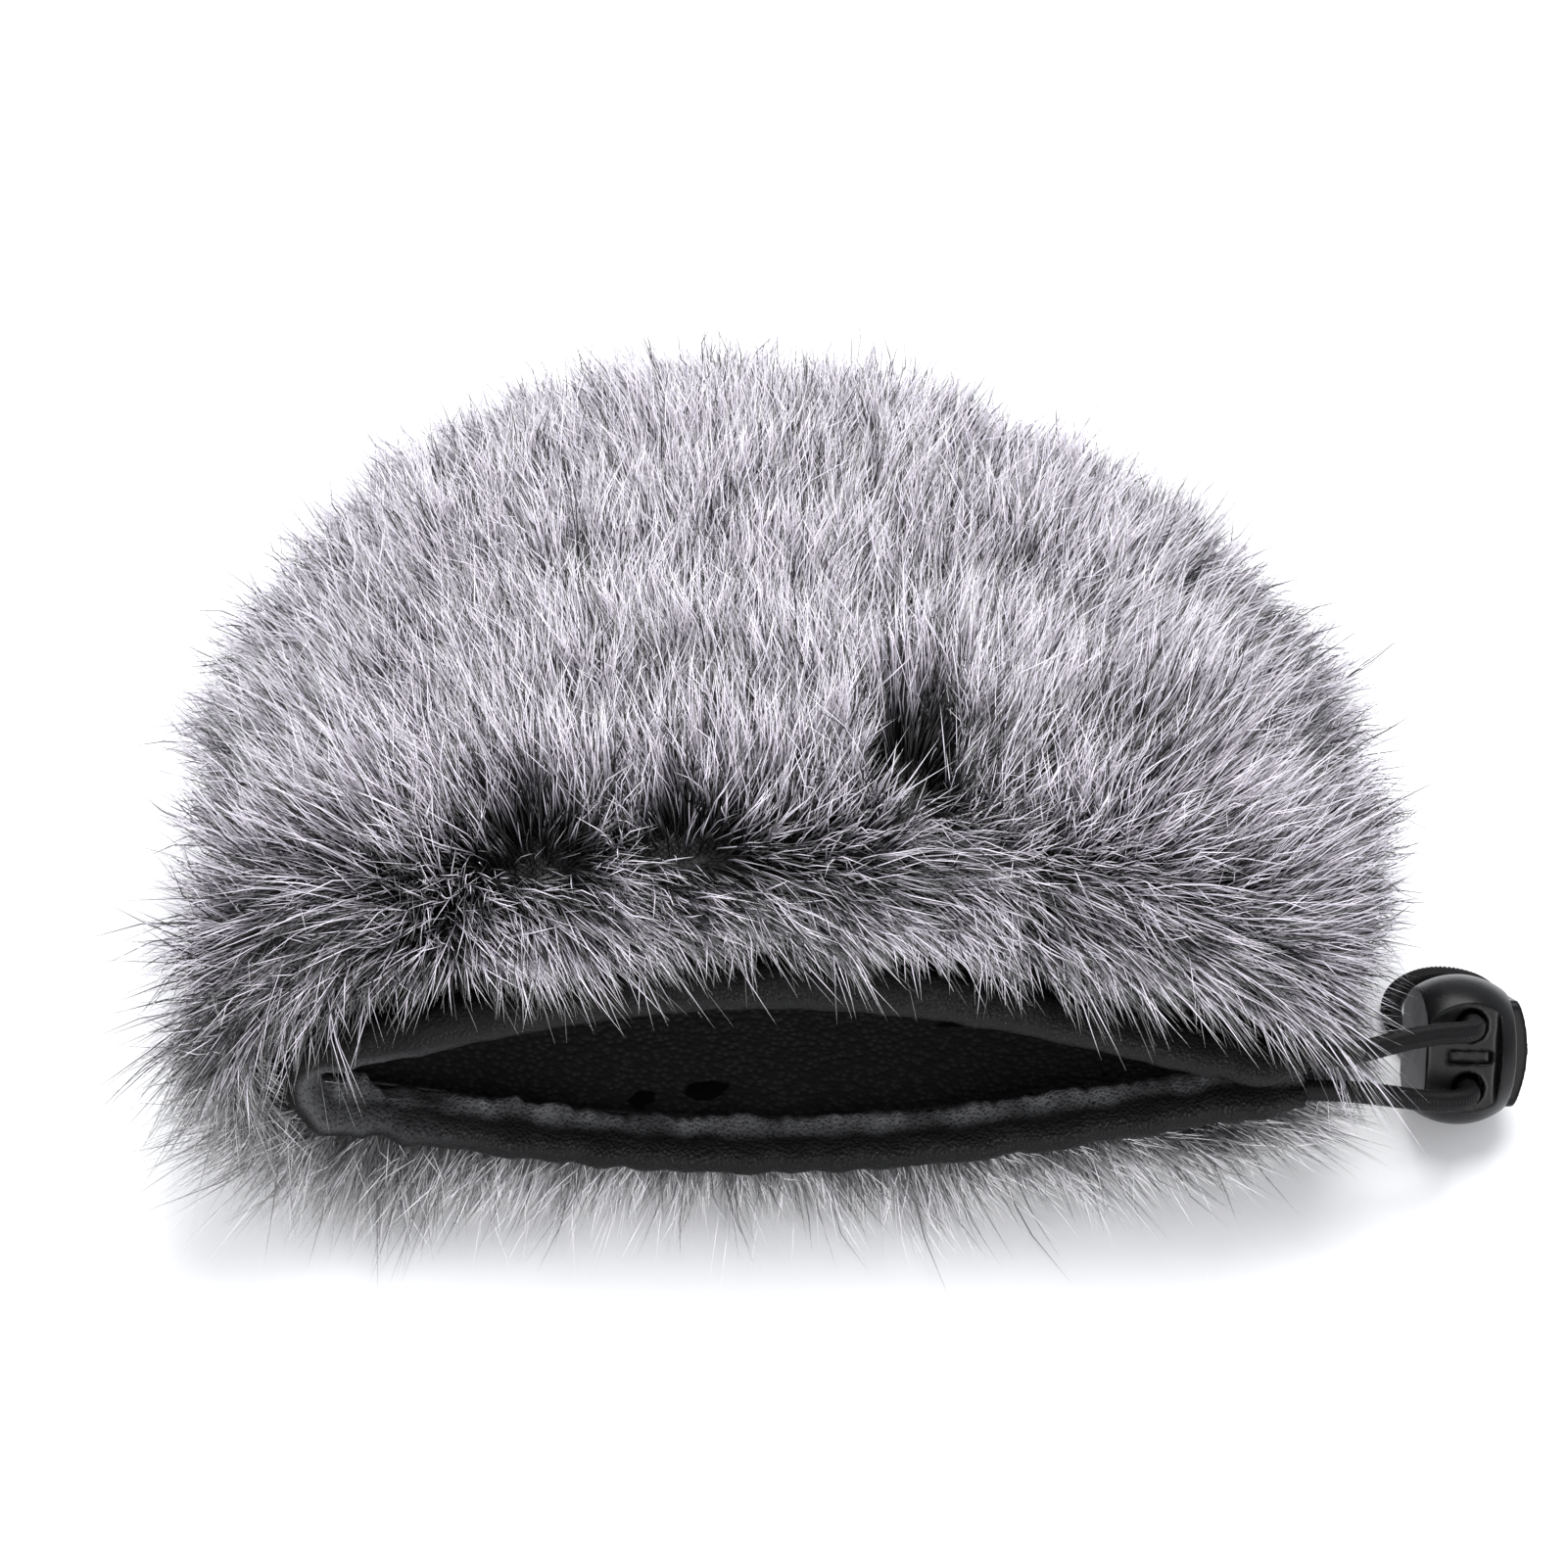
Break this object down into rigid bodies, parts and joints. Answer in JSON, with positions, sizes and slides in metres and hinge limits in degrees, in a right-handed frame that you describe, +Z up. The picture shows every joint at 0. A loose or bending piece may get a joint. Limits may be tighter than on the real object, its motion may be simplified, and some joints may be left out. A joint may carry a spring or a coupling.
{
  "type": "furry windscreen",
  "caption": "Furry slip-on windscreen bag for a handheld audio recorder, with a drawcord mouth closed by a two-hole cord lock.",
  "frame": {"origin": "centre of the bag's outline in plan, on the surface that its lower panel lies on", "axes": "+Z up; -Y out of the mouth and +Y towards the crown; +X towards the side where the drawcord comes out"},
  "size_m": [0.166, 0.13, 0.06],
  "materials": {
    "fur_top": "matte",
    "fur_bottom": "matte",
    "fur_ground": "matte",
    "mesh_lining": "matte",
    "satin_lining": "satin",
    "casing_leatherette": "satin",
    "elastic_cord": "matte",
    "lock_plastic": "satin",
    "plunger_plastic": "satin",
    "spring_steel": "satin",
    "thread": "matte"
  },
  "bodies": {
    "bag": {"fur_top_pile": "fur_top", "fur_top_backing": "fur_ground", "fur_bottom_pile": "fur_bottom", "fur_bottom_backing": "fur_ground", "lining_top": "mesh_lining", "lining_bottom": "satin_lining", "mouth_casing": "casing_leatherette", "casing_drawcord": "elastic_cord", "drawcord_loop": "elastic_cord", "fur_seam_thread": "thread", "lining_seam_thread": "thread", "casing_seam_thread": "thread"},
    "lock": {"lock_body": "lock_plastic", "lock_spring": "spring_steel"},
    "button": {"lock_plunger": "plunger_plastic"}
  },
  "joints": [
    {"name": "lock_slide", "type": "slide", "parent": "bag", "child": "lock", "axis": [1, 0, 0], "range_m": [-0.004, 0.006], "deforming": ["drawcord_loop"]},
    {"name": "button_press", "type": "slide", "parent": "lock", "child": "button", "axis": [-0.9884, -0.0973, 0.1167], "range_m": [0, 0.0022], "stiffness_N_per_m": 700, "springref_m": -0.0005, "deforming": ["lock_spring"]}
  ]
}
